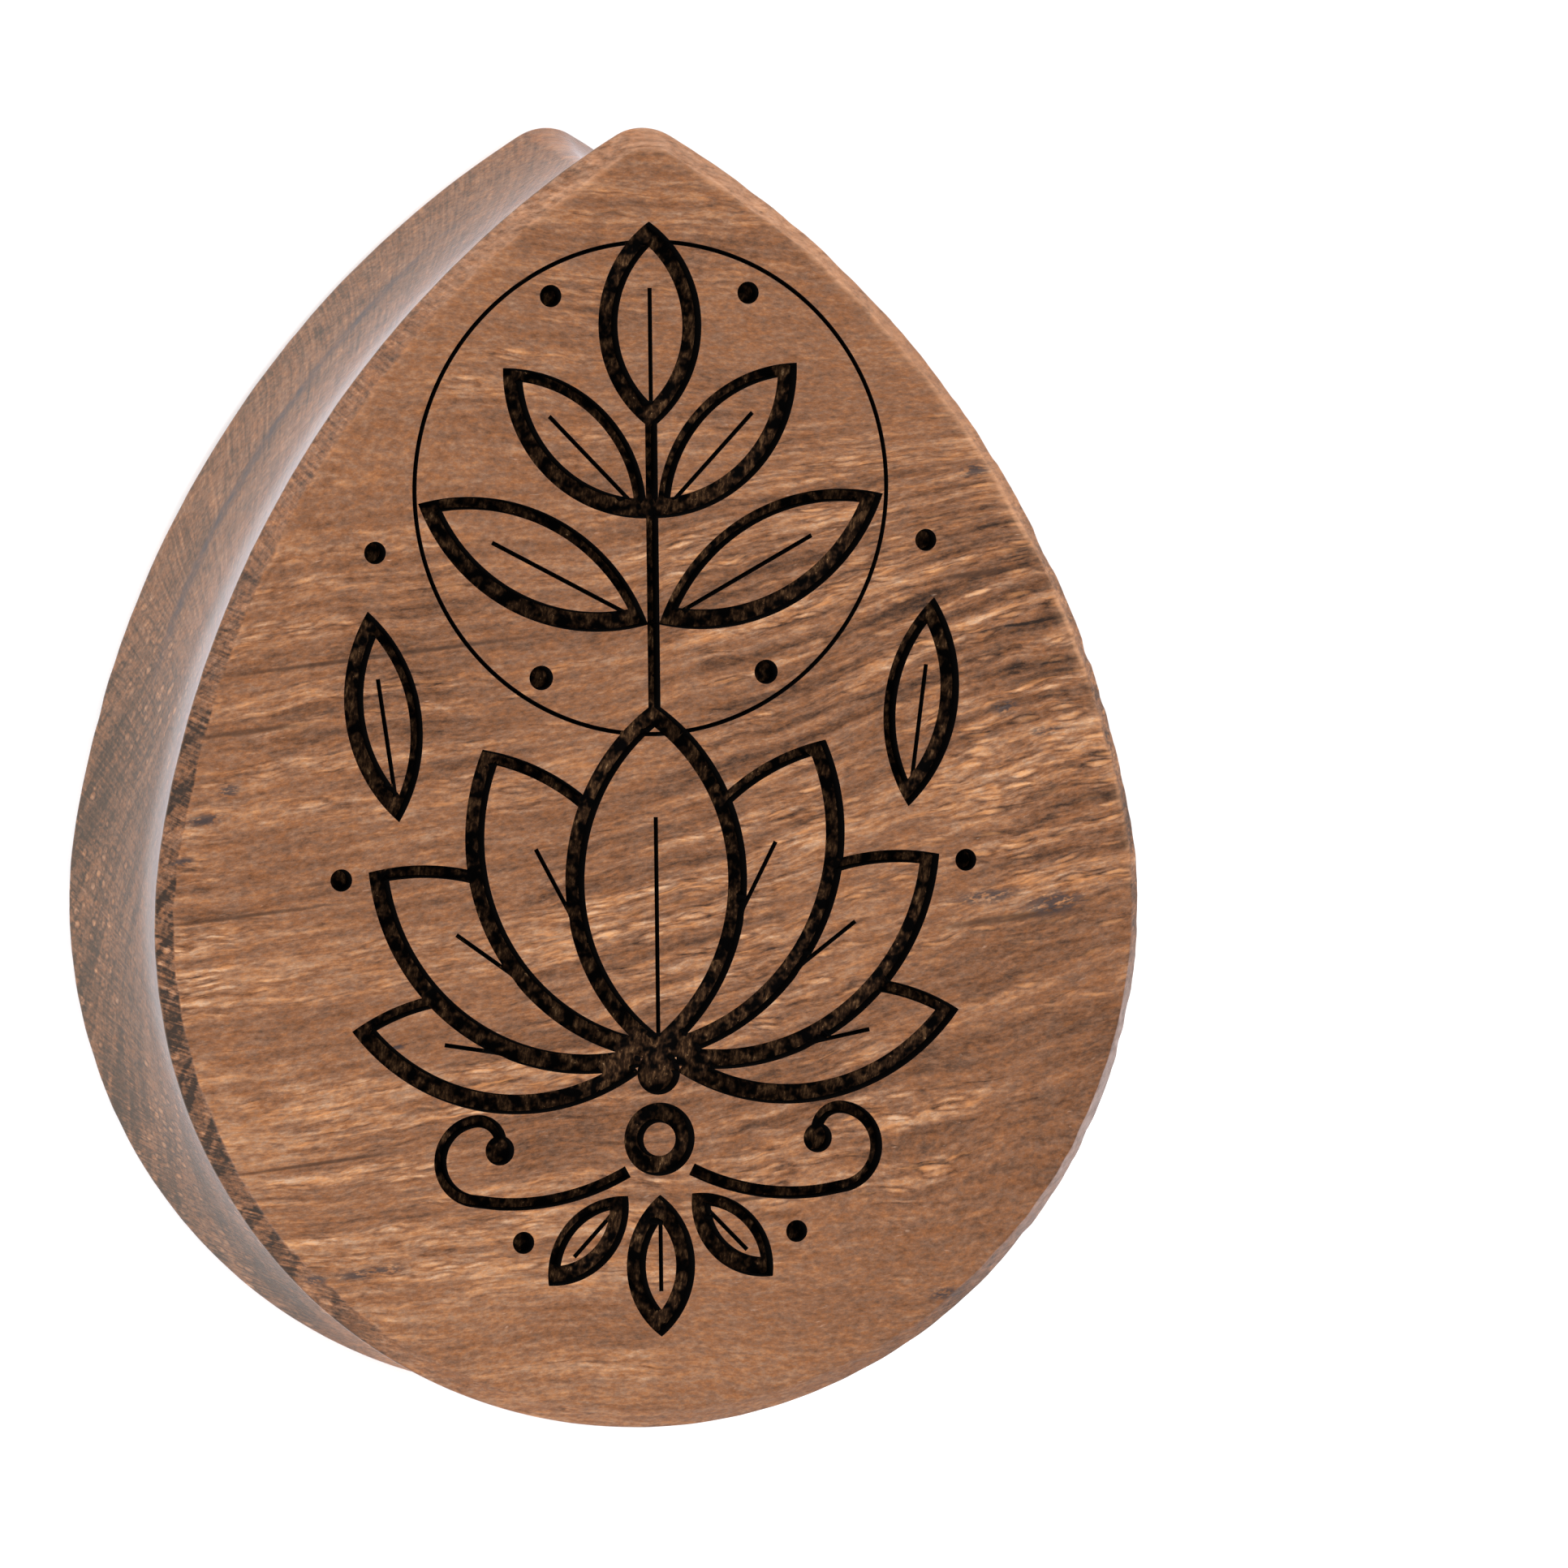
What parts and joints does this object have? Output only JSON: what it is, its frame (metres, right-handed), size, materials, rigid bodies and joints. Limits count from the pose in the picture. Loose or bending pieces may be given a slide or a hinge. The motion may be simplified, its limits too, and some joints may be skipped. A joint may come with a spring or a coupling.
{
  "type": "ear plug gauge",
  "caption": "Double flared teardrop ear plug of solid wood with a hollow waist for the ear lobe and a carved front face.",
  "frame": {"origin": "centre of the box round the plug, on the flat back face that it lies on", "axes": "+Z from the back face to the carved front face, +Y towards the point of the teardrop, +X to the right of the carved face"},
  "size_m": [0.0372, 0.0472, 0.014],
  "materials": {
    "teak": "sanded and waxed, with burnt carved lines"
  },
  "bodies": {
    "root": {"plug": "teak"}
  },
  "joints": []
}
